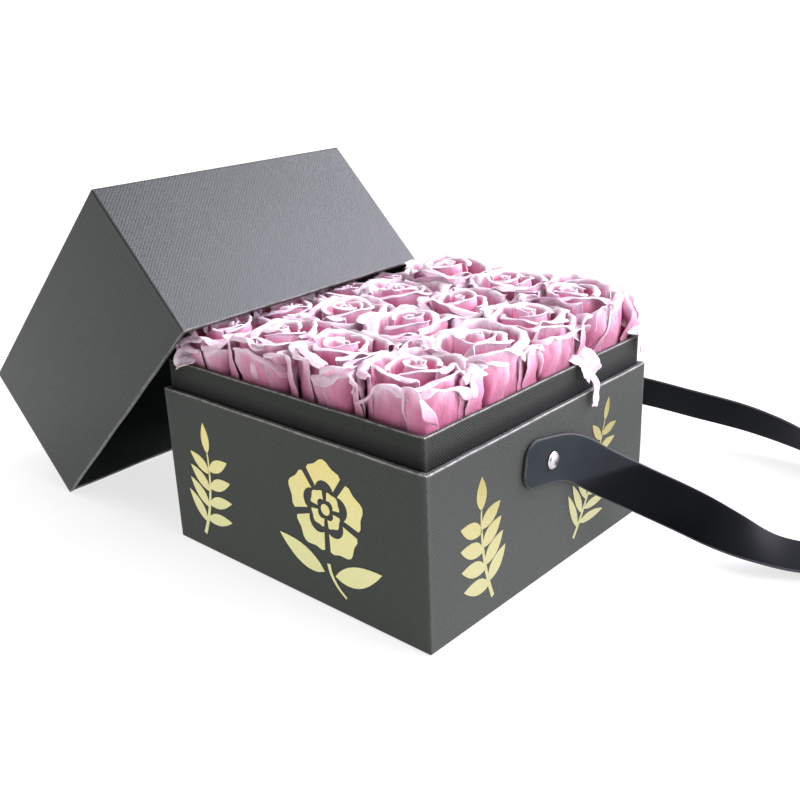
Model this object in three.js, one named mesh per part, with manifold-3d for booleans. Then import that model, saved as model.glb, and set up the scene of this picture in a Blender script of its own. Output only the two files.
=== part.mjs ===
// Square flower box with a deep lift-off lid, a riveted carrying strap and
// sixteen rose heads standing in floral foam. Millimetres, +Z up.
// Origin: centre of the base's underside. -Y is the front-left face, +X the
// front-right face, which carries one of the two strap rivets.
import * as THREE from 'three';
import * as BufferGeometryUtils from 'three/addons/utils/BufferGeometryUtils.js';
import Module from 'manifold-3d';

const wasm = await Module();
wasm.setup();

// ---- driving dimensions -------------------------------------------------
const W = 200;            // outside width of base and lid
const H = 97;             // height of the base box
const BOARD = 3;          // greyboard thickness
const GAP = 0.3;          // clearance between touching pieces
const NECK_HALF = 96.7;   // half width over the neck boards
const NECK_T = 2.4;       // neck board thickness
const NECK_TOP = 114;     // the neck stands 17 mm above the rim
const LID_DEPTH = 99;     // outside depth of the lid
const LID_YAW = 1.95;     // degrees, turned about the vertical
const LID_SLOPE = 43.55;  // degrees, slope of the lid's open side
const LID_EDGE = [-213.9, -11.06, 0.0]; // middle of the lid edge on the table
const RIVET_Z = 70;       // height of the strap rivets
const STRAP_W = 26.8;
const STRAP_T = 2;
const ROSE_PITCH = 47;
const ROSE_R = 23;
const ROSE_Z = 78.3;      // underside of the rose heads
const FOAM_TOP = 75;
const FOAM_HALF = 90.5;
const STEM_R = 1.5;
const STEM_HOLE_R = 2.1;
const STEM_BOTTOM = 46;

const half = W / 2;
const group = new THREE.Group();
group.name = 'flower_box';

const finish = {
  board: { color: 0x2a2c2b, roughness: 0.72, metalness: 0.0 },
  neck: { color: 0x1d1f1d, roughness: 0.75, metalness: 0.0 },
  strap: { color: 0x191c20, roughness: 0.5, metalness: 0.0 },
  chrome: { color: 0xd8d8dc, roughness: 0.15, metalness: 1.0 },
  petal: { color: 0xe6b7c8, roughness: 0.65, metalness: 0.0 },
  foam: { color: 0x4c6b3f, roughness: 0.95, metalness: 0.0 },
  stem: { color: 0x5c7a41, roughness: 0.7, metalness: 0.0 },
};

function add(name, geometry, kind, parent = group) {
  const mesh = new THREE.Mesh(geometry, new THREE.MeshStandardMaterial(finish[kind]));
  mesh.name = name;
  parent.add(mesh);
  return mesh;
}

function box(x0, x1, y0, y1, z0, z1) {
  const g = new THREE.BoxGeometry(x1 - x0, y1 - y0, z1 - z0);
  g.translate((x0 + x1) / 2, (y0 + y1) / 2, (z0 + z1) / 2);
  return g;
}

function solid(geometry) {
  const g = geometry.clone();
  g.deleteAttribute('normal');
  g.deleteAttribute('uv');
  const m = BufferGeometryUtils.mergeVertices(g, 1e-4);
  return new wasm.Manifold(new wasm.Mesh({
    numProp: 3,
    vertProperties: new Float32Array(m.attributes.position.array),
    triVerts: new Uint32Array(m.index.array),
  }));
}

function geometryOf(manifold) {
  const m = manifold.getMesh();
  const g = new THREE.BufferGeometry();
  g.setAttribute('position', new THREE.BufferAttribute(new Float32Array(m.vertProperties), 3));
  g.setIndex(Array.from(m.triVerts));
  g.computeVertexNormals();
  return g;
}

// a rod lying along X, used to drill the rivet holes
function rodX(x0, x1, y, z, r, n = 20) {
  const g = new THREE.CylinderGeometry(r, r, x1 - x0, n);
  g.rotateZ(Math.PI / 2);
  g.translate((x0 + x1) / 2, y, z);
  return g;
}

// ---- base box -----------------------------------------------------------
const inner = half - BOARD; // 97
add('base_floor', box(-NECK_HALF, NECK_HALF, -NECK_HALF, NECK_HALF, 0, BOARD), 'board');
add('base_wall_front', box(-half, half, -half, -inner, 0, H), 'board');
add('base_wall_back', box(-half, half, inner, half, 0, H), 'board');
for (const [name, s] of [['base_wall_right', 1], ['base_wall_left', -1]]) {
  const wall = solid(box(s > 0 ? inner : -half, s > 0 ? half : -inner, -inner + GAP, inner - GAP, 0, H));
  const drill = solid(rodX(s > 0 ? inner - 2 : -half - 2, s > 0 ? half + 2 : -inner + 2, 0, RIVET_Z, 2.7));
  add(name, geometryOf(wall.subtract(drill)), 'board');
}

// ---- neck: the four boards that stand up inside the rim -------------------
const neckIn = NECK_HALF - NECK_T; // 94.3
const neckZ0 = BOARD + GAP;
add('neck_front', box(-NECK_HALF, NECK_HALF, -NECK_HALF, -neckIn, neckZ0, NECK_TOP), 'neck');
add('neck_back', box(-NECK_HALF, NECK_HALF, neckIn, NECK_HALF, neckZ0, NECK_TOP), 'neck');
for (const [name, s] of [['neck_right', 1], ['neck_left', -1]]) {
  const wall = solid(box(s > 0 ? neckIn : -NECK_HALF, s > 0 ? NECK_HALF : -neckIn, -neckIn + GAP, neckIn - GAP, neckZ0, NECK_TOP));
  const drill = solid(rodX(s > 0 ? neckIn - 2 : -NECK_HALF - 2, s > 0 ? NECK_HALF + 2 : -neckIn + 2, 0, RIVET_Z, 2.7));
  add(name, geometryOf(wall.subtract(drill)), 'neck');
}

// ---- lid, leaning on the neck with one edge on the table ------------------
// local frame: x up the slope of the open side, y along the table edge,
// z from the open rim to the top panel; origin at the middle of the open rim
const yaw = THREE.MathUtils.degToRad(LID_YAW);
const slope = THREE.MathUtils.degToRad(LID_SLOPE);
const lidV = new THREE.Vector3(-Math.sin(yaw), Math.cos(yaw), 0);
const lidU = new THREE.Vector3(Math.cos(yaw) * Math.cos(slope), Math.sin(yaw) * Math.cos(slope), Math.sin(slope));
const lidN = new THREE.Vector3().crossVectors(lidU, lidV);
const lid = new THREE.Group();
lid.name = 'lid';
lid.quaternion.setFromRotationMatrix(new THREE.Matrix4().makeBasis(lidU, lidV, lidN));
lid.position.set(...LID_EDGE).addScaledVector(lidU, half);
group.add(lid);
add('lid_top', box(-half, half, -half, half, LID_DEPTH - BOARD, LID_DEPTH), 'board', lid);
const lidWallTop = LID_DEPTH - BOARD - GAP;
add('lid_wall_front', box(-half, half, -half, -inner, 0, lidWallTop), 'board', lid);
add('lid_wall_back', box(-half, half, inner, half, 0, lidWallTop), 'board', lid);
add('lid_wall_upper', box(inner, half, -inner + GAP, inner - GAP, 0, lidWallTop), 'board', lid);
add('lid_wall_lower', box(-half, -inner, -inner + GAP, inner - GAP, 0, lidWallTop), 'board', lid);

// ---- strap: one flat band from rivet to rivet -----------------------------
// centre points and lean of the band (0 = standing on edge, 90 = lying flat)
const X0 = half + GAP + STRAP_T / 2; // 101.3
const strapRoute = [
  [X0, -24, 74.2, 0], [X0, -12, 72.2, 0], [X0, 0, RIVET_Z, 0], [X0 + 0.4, 12, 67.2, 0],
  [X0 + 2.2, 24, 62.0, 2], [110.2, 38, 51.5, 7],
  [127.5, 56, 37.4, 17], [149.5, 69, 25.6, 34], [166, 73.5, 19.4, 52], [183, 77.5, 14.2, 70],
  [197, 84, 9.8, 78], [211, 92.5, 7.6, 80], [230, 109, 6.0, 80], [239, 136, 5.8, 77],
  [233, 167, 6.6, 69], [212, 196, 9.2, 58], [182, 216, 13.0, 44], [150, 226, 17.4, 32], [114, 228, 22.2, 26], [71, 225, 25.2, 23],
  [35, 225, 26.2, 21], [0, 221, 27, 19], [-38, 207, 28.4, 16], [-75, 177, 31, 12], [-96.5, 136, 36, 6],
  [-103.6, 92, 42.5, 1], [-103.2, 60, 51.5, 0], [-102.2, 28, 61.3, 0], [-X0, 0, RIVET_Z, 0],
  [-X0, -12, 73.6, 0], [-X0, -24, 77.2, 0],
];
const centre = new THREE.CatmullRomCurve3(strapRoute.map((p) => new THREE.Vector3(p[0], p[1], p[2])), false, 'centripetal');
const STRAP_STEPS = 110;
function strapFrame(k) {
  const t = Math.min(Math.max(k / STRAP_STEPS, 0), 1);
  const p = centre.getPoint(t);
  const d = centre.getTangent(t).normalize();
  const f = t * (strapRoute.length - 1);
  const i = Math.min(Math.floor(f), strapRoute.length - 2);
  const lean = THREE.MathUtils.degToRad(THREE.MathUtils.lerp(strapRoute[i][3], strapRoute[i + 1][3], f - i));
  const side = new THREE.Vector3().crossVectors(d, new THREE.Vector3(0, 0, 1)).normalize();
  const rise = new THREE.Vector3().crossVectors(side, d).normalize();
  const face = side.clone().multiplyScalar(Math.cos(lean)).addScaledVector(rise, Math.sin(lean));
  const wide = rise.clone().multiplyScalar(Math.cos(lean)).addScaledVector(side, -Math.sin(lean));
  return { p, face, wide };
}
{
  // a long thin box bent along the route, its two ends rounded
  const g = new THREE.BoxGeometry(STRAP_STEPS, STRAP_W, STRAP_T, STRAP_STEPS, 1, 1);
  const pos = g.attributes.position;
  const lengths = centre.getLength();
  const arc = [0];
  let last = centre.getPoint(0);
  for (let k = 1; k <= STRAP_STEPS; k++) {
    const q = centre.getPoint(k / STRAP_STEPS);
    arc.push(arc[k - 1] + q.distanceTo(last));
    last = q;
  }
  const R = STRAP_W / 2;
  for (let i = 0; i < pos.count; i++) {
    const k = Math.round(pos.getX(i) + STRAP_STEPS / 2);
    const { p, face, wide } = strapFrame(k);
    const end = Math.min(arc[k], lengths - arc[k]);
    const c = Math.max(0, 1 - (end + 1.2) / R);
    const narrow = Math.sqrt(Math.max(0.0, 1 - c * c));
    p.addScaledVector(wide, pos.getY(i) * narrow).addScaledVector(face, pos.getZ(i));
    pos.setXYZ(i, p.x, p.y, p.z);
  }
  let band = solid(g);
  if (band.volume() < 0) throw new Error('strap inside out');
  band = band.subtract(solid(rodX(half - 2, half + 6, 0, RIVET_Z, 2.7)));
  band = band.subtract(solid(rodX(-half - 6, -half + 2, 0, RIVET_Z, 2.7)));
  add('strap', geometryOf(band), 'strap');
}

// ---- rivets: domed cap with its post, and a washer inside the wall --------
for (const [side, s] of [['right', 1], ['left', -1]]) {
  const capX = half + GAP + STRAP_T + GAP; // 102.6
  // profile (radius, distance out from the middle of the box)
  const profile = [[0, 92.2], [2.2, 92.2], [2.2, capX], [4.9, capX], [5, capX + 0.5], [4.6, capX + 1.2],
    [3.6, capX + 1.9], [2, capX + 2.35], [0, capX + 2.5]];
  const cap = new THREE.LatheGeometry(profile.map((q) => new THREE.Vector2(q[0], q[1])), 20);
  cap.rotateZ(s > 0 ? -Math.PI / 2 : Math.PI / 2);
  cap.translate(0, 0, RIVET_Z);
  add(`rivet_${side}`, cap, 'chrome');
  const ring = [[2.6, 92.8], [5.5, 92.8], [5.5, 94.0], [2.6, 94.0], [2.6, 92.8]];
  const washer = new THREE.LatheGeometry(ring.map((q) => new THREE.Vector2(q[0], q[1])), 20);
  washer.rotateZ(s > 0 ? -Math.PI / 2 : Math.PI / 2);
  washer.translate(0, 0, RIVET_Z);
  add(`rivet_washer_${side}`, washer, 'chrome');
}

// ---- floral foam, stems and rose heads ------------------------------------
let foam = solid(box(-FOAM_HALF, FOAM_HALF, -FOAM_HALF, FOAM_HALF, BOARD + GAP + 0.1, FOAM_TOP));
// height of each rose, rows from -Y to +Y, columns from -X to +X; the column
// under the leaning lid is pressed lower
const roseTop = [
  [133.0, 139.0, 141.0, 139.5],
  [132.5, 140.5, 142.0, 141.0],
  [132.5, 140.5, 142.5, 141.5],
  [128.0, 139.5, 142.0, 141.0],
];
for (let row = 0; row < 4; row++) {
  for (let col = 0; col < 4; col++) {
    const x = (col - 1.5) * ROSE_PITCH;
    const y = (row - 1.5) * ROSE_PITCH;
    const hole = new THREE.CylinderGeometry(STEM_HOLE_R, STEM_HOLE_R, FOAM_TOP + 2 - (STEM_BOTTOM - 0.6), 10);
    hole.rotateX(Math.PI / 2);
    hole.translate(x, y, (FOAM_TOP + 2 + STEM_BOTTOM - 0.6) / 2);
    foam = foam.subtract(solid(hole));
    const stem = new THREE.CylinderGeometry(STEM_R, STEM_R, ROSE_Z - 0.4 - STEM_BOTTOM, 10);
    stem.rotateX(Math.PI / 2);
    stem.translate(x, y, (ROSE_Z - 0.4 + STEM_BOTTOM) / 2);
    add(`stem_${row + 1}${col + 1}`, stem, 'stem');
    const h = roseTop[row][col] - ROSE_Z;
    const r = col === 0 ? ROSE_R - 0.6 : ROSE_R;
    const head = new THREE.LatheGeometry([
      [0, 0], [8, 0.6], [14.5, 0.16 * h], [19, 0.36 * h], [r - 0.8, 0.58 * h], [r, 0.76 * h],
      [r - 2, 0.9 * h], [13, 0.985 * h], [0, h],
    ].map((q) => new THREE.Vector2(q[0], q[1])), 18);
    head.rotateX(Math.PI / 2);
    head.translate(x, y, ROSE_Z);
    add(`rose_${row + 1}${col + 1}`, head, 'petal');
  }
}
add('floral_foam', geometryOf(foam), 'foam');

export default group;
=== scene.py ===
# Looks of the flower box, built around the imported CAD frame. Metres, +Z up.
import bpy, math
import numpy as np
from mathutils import Matrix, Vector


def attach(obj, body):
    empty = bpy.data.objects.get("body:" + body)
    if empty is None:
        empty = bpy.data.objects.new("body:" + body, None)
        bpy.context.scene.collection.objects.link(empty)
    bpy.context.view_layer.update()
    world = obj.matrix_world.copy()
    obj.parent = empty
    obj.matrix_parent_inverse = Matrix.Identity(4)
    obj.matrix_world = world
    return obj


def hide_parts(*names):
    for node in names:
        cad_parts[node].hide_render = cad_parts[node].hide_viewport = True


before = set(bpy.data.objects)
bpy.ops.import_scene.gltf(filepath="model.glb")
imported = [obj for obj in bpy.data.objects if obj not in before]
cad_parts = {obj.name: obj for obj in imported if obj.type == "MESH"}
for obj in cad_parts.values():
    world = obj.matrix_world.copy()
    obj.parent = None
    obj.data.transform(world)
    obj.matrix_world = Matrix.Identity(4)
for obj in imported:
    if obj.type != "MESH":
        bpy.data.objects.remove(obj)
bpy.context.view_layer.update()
MM = 0.001

# ------------------------------------------------------------------ camera
def make_camera():
    az, el, roll = math.radians(42.604), math.radians(20.836), math.radians(-2.193)
    back = Vector((math.sin(az) * math.cos(el), -math.cos(az) * math.cos(el), math.sin(el)))
    right = Vector((math.cos(az), math.sin(az), 0))
    up = back.cross(right)
    r2 = math.cos(roll) * right + math.sin(roll) * up
    u2 = -math.sin(roll) * right + math.cos(roll) * up
    pos = Vector((375.22, -414.65, 293.85)) * MM
    cam = bpy.data.cameras.new("camera")
    cam.sensor_width = 36
    cam.lens = 1011.727 / 800 * 36
    cam.clip_start = 0.01
    cam.clip_end = 20
    o = bpy.data.objects.new("camera", cam)
    bpy.context.scene.collection.objects.link(o)
    m = Matrix((r2, u2, back)).transposed().to_4x4()
    m.translation = pos
    o.matrix_world = m
    bpy.context.scene.camera = o
    return o

make_camera()

# ------------------------------------------------------------------ helpers
def link(name, me):
    o = bpy.data.objects.new(name, me)
    bpy.context.scene.collection.objects.link(o)
    return o


def mesh_from(name, verts, faces, mat=None, smooth=True, attrs=None):
    me = bpy.data.meshes.new(name)
    me.from_pydata([tuple(v) for v in verts], [], [tuple(f) for f in faces])
    me.update()
    if smooth:
        me.polygons.foreach_set("use_smooth", [True] * len(me.polygons))
    if attrs:
        for k, a in attrs.items():
            at = me.attributes.new(k, "FLOAT", "POINT")
            at.data.foreach_set("value", np.asarray(a, dtype=np.float32))
    if mat:
        me.materials.append(mat)
    return link(name, me)


def apply_mods(o):
    dg = bpy.context.evaluated_depsgraph_get()
    me = bpy.data.meshes.new_from_object(o.evaluated_get(dg), preserve_all_data_layers=True, depsgraph=dg)
    old = o.data
    o.modifiers.clear()
    o.data = me
    bpy.data.meshes.remove(old)
    return o


class Nodes:
    """A small helper that builds node trees with one call per node."""

    def __init__(self, name):
        self.mat = bpy.data.materials.new(name)
        self.mat.use_nodes = True
        self.t = self.mat.node_tree
        self.t.nodes.clear()
        self.out = self.t.nodes.new("ShaderNodeOutputMaterial")
        self.bsdf = self.t.nodes.new("ShaderNodeBsdfPrincipled")
        self.t.links.new(self.bsdf.outputs[0], self.out.inputs[0])

    def put(self, sock, v):
        if isinstance(v, bpy.types.NodeSocket):
            self.t.links.new(v, sock)
        elif v is not None:
            if hasattr(sock, "default_value"):
                if isinstance(v, (tuple, list)) and len(v) == 3 and len(sock.default_value) == 4:
                    v = (*v, 1)
                sock.default_value = v

    def set(self, **kw):
        for k, v in kw.items():
            self.put(self.bsdf.inputs[k.replace("_", " ")], v)

    def coord(self, kind="Object"):
        return self.t.nodes.new("ShaderNodeTexCoord").outputs[kind]

    def math(self, op, a, b=None, c=None, clamp=False):
        n = self.t.nodes.new("ShaderNodeMath")
        n.operation = op
        n.use_clamp = clamp
        for i, v in enumerate((a, b, c)):
            self.put(n.inputs[i], v)
        return n.outputs[0]

    def vmath(self, op, a, b=None):
        n = self.t.nodes.new("ShaderNodeVectorMath")
        n.operation = op
        self.put(n.inputs[0], a)
        if op == "SCALE":
            self.put(n.inputs[3], b)
        else:
            self.put(n.inputs[1], b)
        return n.outputs["Value"] if op in ("DOT_PRODUCT", "LENGTH") else n.outputs[0]

    def noise(self, vec, scale, detail=4.0, rough=0.55, dist=0.0, out="Fac"):
        n = self.t.nodes.new("ShaderNodeTexNoise")
        self.put(n.inputs["Vector"], vec)
        n.inputs["Scale"].default_value = scale
        n.inputs["Detail"].default_value = detail
        n.inputs["Roughness"].default_value = rough
        n.inputs["Distortion"].default_value = dist
        return n.outputs[out]

    def voronoi(self, vec, scale, feature="F1", out="Distance", rnd=1.0):
        n = self.t.nodes.new("ShaderNodeTexVoronoi")
        n.feature = feature
        self.put(n.inputs["Vector"], vec)
        n.inputs["Scale"].default_value = scale
        n.inputs["Randomness"].default_value = rnd
        return n.outputs[out]

    def ramp(self, fac, stops, interp="LINEAR"):
        n = self.t.nodes.new("ShaderNodeValToRGB")
        n.color_ramp.interpolation = interp
        e = n.color_ramp.elements
        while len(e) < len(stops):
            e.new(0.5)
        for i, (p, c) in enumerate(stops):
            e[i].position = p
            e[i].color = (*c, 1) if len(c) == 3 else c
        self.put(n.inputs[0], fac)
        return n.outputs[0]

    def mix(self, fac, a, b, mode="MIX"):
        n = self.t.nodes.new("ShaderNodeMix")
        n.data_type = "RGBA"
        n.blend_type = mode
        self.put(n.inputs[0], fac)
        self.put(n.inputs[6], a)
        self.put(n.inputs[7], b)
        return n.outputs[2]

    def mapr(self, v, a, b, c, d, clamp=True):
        n = self.t.nodes.new("ShaderNodeMapRange")
        n.clamp = clamp
        for i, x in enumerate((v, a, b, c, d)):
            self.put(n.inputs[i], x)
        return n.outputs[0]

    def attr(self, name, out="Fac"):
        n = self.t.nodes.new("ShaderNodeAttribute")
        n.attribute_name = name
        return n.outputs[out]

    def sep(self, v):
        n = self.t.nodes.new("ShaderNodeSeparateXYZ")
        self.put(n.inputs[0], v)
        return n.outputs

    def comb(self, x, y, z):
        n = self.t.nodes.new("ShaderNodeCombineXYZ")
        for i, v in enumerate((x, y, z)):
            self.put(n.inputs[i], v)
        return n.outputs[0]

    def bump(self, height, strength=0.3, dist=0.0005, normal=None):
        n = self.t.nodes.new("ShaderNodeBump")
        n.inputs["Strength"].default_value = strength
        n.inputs["Distance"].default_value = dist
        self.put(n.inputs["Height"], height)
        if normal is not None:
            self.put(n.inputs["Normal"], normal)
        return n.outputs[0]


# ---------------------------------------------------------------- materials
def twill_paper(name, base, worn=(0.78, 0.77, 0.73), rough=0.5, weave=0.45, edge_attr=True, sheen=0.03, painted_foot_shade=None, spec=0.3, contrast=1.0):
    """Black paper embossed with a fine diagonal weave; wear along board edges from the wear attribute."""
    n = Nodes(name)
    co = n.coord()
    # slight wobble, so that the threads aren't ruler-straight
    wob = n.vmath("SCALE", n.vmath("SUBTRACT", n.noise(co, 60, 2, out="Color"), (0.5, 0.5, 0.5)), 0.0006)
    x, y, z = n.sep(n.vmath("ADD", co, wob))
    k = 2 * math.pi / 0.00178
    a1 = n.math("SINE", n.math("MULTIPLY", n.math("ADD", n.math("ADD", x, y), z), k))
    a2 = n.math("SINE", n.math("MULTIPLY", n.math("SUBTRACT", n.math("ADD", x, y), z), k * 0.74))
    a3 = n.math("SINE", n.math("MULTIPLY", n.math("SUBTRACT", x, y), k * 0.5))
    fine = n.noise(co, 620, 4, 0.65)
    blot = n.noise(co, 240, 3, 0.6)
    twill = n.math("ADD", n.math("MULTIPLY", a1, 0.5), n.math("MULTIPLY", a2, 0.28))
    twill = n.math("MULTIPLY", twill, n.mapr(blot, 0.3, 0.7, 0.55, 1.15))
    h = n.math("ADD", twill, n.math("MULTIPLY", n.math("SUBTRACT", fine, 0.5), 1.5))
    cloud = n.noise(co, 14, 3, 0.5)
    speck = n.math("GREATER_THAN", n.noise(co, 900, 2, 0.5), 0.715)
    lo = tuple(c * (1 - 0.78 * contrast) for c in base)
    hi = tuple(min(1, c * (1 + 1.2 * contrast)) for c in base)
    col = n.mix(n.mapr(h, -1, 1, 0, 1), lo, hi)
    col = n.mix(n.mapr(cloud, 0.35, 0.7, 0.0, 0.35), col, tuple(c * 1.35 for c in base))
    col = n.mix(n.math("MULTIPLY", speck, 0.35), col, tuple(min(1, c * 4) for c in base))
    if painted_foot_shade:
        # painted shade: the bottom of the shoulder, just above the base's rim, is painted near black for the shadow of
        # the step
        col = n.mix(n.mapr(z, painted_foot_shade[0], painted_foot_shade[1], 0.9, 0.0), col, (0.0015, 0.0017, 0.0014))
    if edge_attr:
        w = n.attr("wear")
        broken = n.math("MULTIPLY", w, n.mapr(n.noise(co, 190, 5, 0.7), 0.36, 0.58, 0.35, 1.0))
        col = n.mix(broken, col, worn)
    n.set(Base_Color=col, Roughness=n.mapr(n.math("ADD", h, cloud), -0.6, 1.6, rough - 0.07, rough + 0.13),
          Normal=n.bump(h, weave, 0.00022), Specular_IOR_Level=spec)
    n.bsdf.inputs["Sheen Weight"].default_value = sheen
    n.bsdf.inputs["Sheen Roughness"].default_value = 0.5
    return n.mat


def leather(name):
    n = Nodes(name)
    co = n.coord()
    pore = n.voronoi(co, 2600, "F1")
    fine = n.noise(co, 900, 4, 0.6)
    cloud = n.noise(co, 30, 3, 0.5)
    edge, tab = n.attr("edge"), n.attr("tab")
    col = n.mix(n.mapr(fine, 0.3, 0.7, 0, 1), (0.0020, 0.0027, 0.0033), (0.0041, 0.0055, 0.0066))
    col = n.mix(n.mapr(cloud, 0.4, 0.7, 0, 0.5), col, (0.0050, 0.0067, 0.0082))
    # painted light: the flat tab, which faces the light, is painted lighter than the leg past the crease
    col = n.mix(n.math("MULTIPLY", tab, n.mapr(cloud, 0.3, 0.7, 0.75, 1.0)), col, (0.0238, 0.0300, 0.0335))
    # painted highlight: the rounded edges and the cut ends are painted light grey, as where they catch the light
    col = n.mix(n.math("MULTIPLY", edge, 0.6), col, (0.11, 0.11, 0.115))
    h = n.math("ADD", n.math("MULTIPLY", pore, 0.7), n.math("MULTIPLY", fine, 0.5))
    n.set(Base_Color=col, Roughness=n.mapr(n.math("ADD", fine, cloud), 0.6, 1.4, 0.38, 0.52),
          Normal=n.bump(h, 0.22, 0.00008), Specular_IOR_Level=0.05)
    return n.mat


def chrome(name):
    n = Nodes(name)
    co = n.coord()
    s = n.noise(co, 700, 3, 0.6)
    n.set(Base_Color=n.mix(n.mapr(s, 0.3, 0.7, 0, 1), (0.50, 0.50, 0.51), (0.58, 0.58, 0.59)),
          Roughness=n.mapr(s, 0.3, 0.75, 0.25, 0.34), Normal=n.bump(s, 0.03, 0.00004))
    n.bsdf.inputs["Metallic"].default_value = 1.0
    return n.mat


def gold(name, painted_shade_factor=1.0):
    n = Nodes(name)
    co = n.coord()
    x, y, z = n.sep(co)
    k = 2 * math.pi / 0.00178
    tw = n.math("SINE", n.math("MULTIPLY", n.math("ADD", n.math("ADD", x, y), z), k))
    s = n.noise(co, 500, 3, 0.6)
    up = n.mapr(n.math("ADD", z, n.math("MULTIPLY", n.noise(co, 20, 2), 0.02)), 0.045, 0.095, 0, 1)
    # a factor below 1 darkens the whole foil colour: painted shade for a face that gets more light
    col = n.mix(up, [c * painted_shade_factor for c in (0.74, 0.72, 0.36)], [c * painted_shade_factor for c in (0.70, 0.60, 0.22)])
    col = n.mix(n.mapr(s, 0.45, 0.75, 0, 0.4), col, [c * painted_shade_factor for c in (0.82, 0.80, 0.50)])
    n.set(Base_Color=col, Roughness=n.mapr(s, 0.3, 0.7, 0.26, 0.42),
          Normal=n.bump(n.math("ADD", n.math("MULTIPLY", tw, 0.4), s), 0.18, 0.00008))
    n.bsdf.inputs["Metallic"].default_value = 0.85
    return n.mat


def petal_material(name):
    n = Nodes(name)
    co = n.coord()
    rim, hue, painted_depth_shade = n.attr("rim"), n.attr("hue"), n.attr("painted_depth_shade")
    vein = n.noise(n.vmath("MULTIPLY", co, (1.0, 1.0, 0.22)), 800, 4, 0.65)
    blot = n.noise(co, 150, 4, 0.6)
    f = n.math("ADD", rim, n.math("MULTIPLY", n.math("SUBTRACT", blot, 0.5), 0.32))
    f = n.math("ADD", f, n.math("MULTIPLY", n.math("SUBTRACT", hue, 0.5), 0.16))
    # the ramp runs from deep pink at the petal's base to pale at rims and flaps; the pale end is partly the petals' own
    # colour, partly a painted highlight on the lit tops
    col = n.ramp(f, [(0.0, (0.72, 0.16, 0.30)), (0.20, (0.77, 0.26, 0.41)), (0.46, (0.80, 0.42, 0.55)),
                     (0.70, (0.82, 0.575, 0.69)), (0.86, (0.83, 0.67, 0.76)), (1.0, (0.84, 0.745, 0.80))])
    col = n.mix(n.mapr(vein, 0.42, 0.74, 0, 0.18), col, (0.60, 0.24, 0.38))
    # painted shade: lower down in the heads the petals are darkened, for the shade of the hollows and walls
    col = n.mix(n.math("MULTIPLY", painted_depth_shade, 0.80), col, (0.34, 0.072, 0.155))
    # darker blotches inside the same painted shade mask
    blotchy_depth_shade = n.mapr(n.noise(co, 75, 3, 0.6), 0.50, 0.72, 0, 0.45)
    col = n.mix(n.math("MULTIPLY", painted_depth_shade, blotchy_depth_shade), col, (0.24, 0.075, 0.125))
    wr = n.noise(n.vmath("MULTIPLY", co, (1.0, 1.0, 0.5)), 420, 5, 0.65, 0.6)
    h = n.math("ADD", n.math("MULTIPLY", wr, 1.0), n.math("MULTIPLY", vein, 0.35))
    n.set(Base_Color=col, Roughness=n.mapr(blot, 0.3, 0.7, 0.5, 0.68), Normal=n.bump(h, 0.7, 0.0009),
          Specular_IOR_Level=0.35)
    n.bsdf.inputs["Subsurface Weight"].default_value = 0.3
    n.bsdf.inputs["Subsurface Radius"].default_value = (1.0, 0.60, 0.75)
    n.bsdf.inputs["Subsurface Scale"].default_value = 0.0012
    n.bsdf.inputs["Sheen Weight"].default_value = 0.15
    n.bsdf.inputs["Sheen Roughness"].default_value = 0.45
    return n.mat


def foam_material(name):
    n = Nodes(name)
    co = n.coord()
    v = n.voronoi(co, 900, "F1")
    s = n.noise(co, 500, 4, 0.6)
    n.set(Base_Color=n.mix(n.mapr(s, 0.3, 0.7, 0, 1), (0.045, 0.09, 0.035), (0.11, 0.17, 0.07)), Roughness=n.mapr(s, 0, 1, 0.85, 1),
          Normal=n.bump(n.math("ADD", v, s), 0.8, 0.0006))
    return n.mat


def stem_material(name):
    n = Nodes(name)
    co = n.coord()
    s = n.noise(n.vmath("MULTIPLY", co, (1, 1, 0.1)), 1500, 4, 0.6)
    n.set(Base_Color=n.mix(n.mapr(s, 0.3, 0.7, 0, 1), (0.09, 0.13, 0.045), (0.2, 0.24, 0.1)), Roughness=n.mapr(s, 0, 1, 0.5, 0.8),
          Normal=n.bump(s, 0.5, 0.0003))
    return n.mat


M_BASE = twill_paper("base_twill", (0.0300, 0.0352, 0.0294), rough=0.5, weave=0.55, spec=0.23, contrast=0.8)
# the neck gets painted shade along its bottom band, just above the base's rim
M_NECK = twill_paper("neck_twill", (0.0165, 0.0200, 0.0155), rough=0.58, weave=0.8, spec=0.2, painted_foot_shade=(0.0975, 0.1035))
M_LID = twill_paper("lid_twill", (0.0122, 0.0180, 0.0136), rough=0.33, weave=0.24, spec=0.29, contrast=0.5)
M_STRAP = leather("strap_leather")
M_CHROME = chrome("rivet_chrome")
M_GOLD = gold("gold_foil")
# painted shade: a darker copy of the gold foil for the +X face, which the right-hand lamp lights more strongly
M_GOLD_PAINTED_SHADE = gold("gold_foil_painted_shade", 0.7)
M_PETAL = petal_material("petal")
M_FOAM = foam_material("floral_foam")
M_STEM = stem_material("stem")

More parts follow.
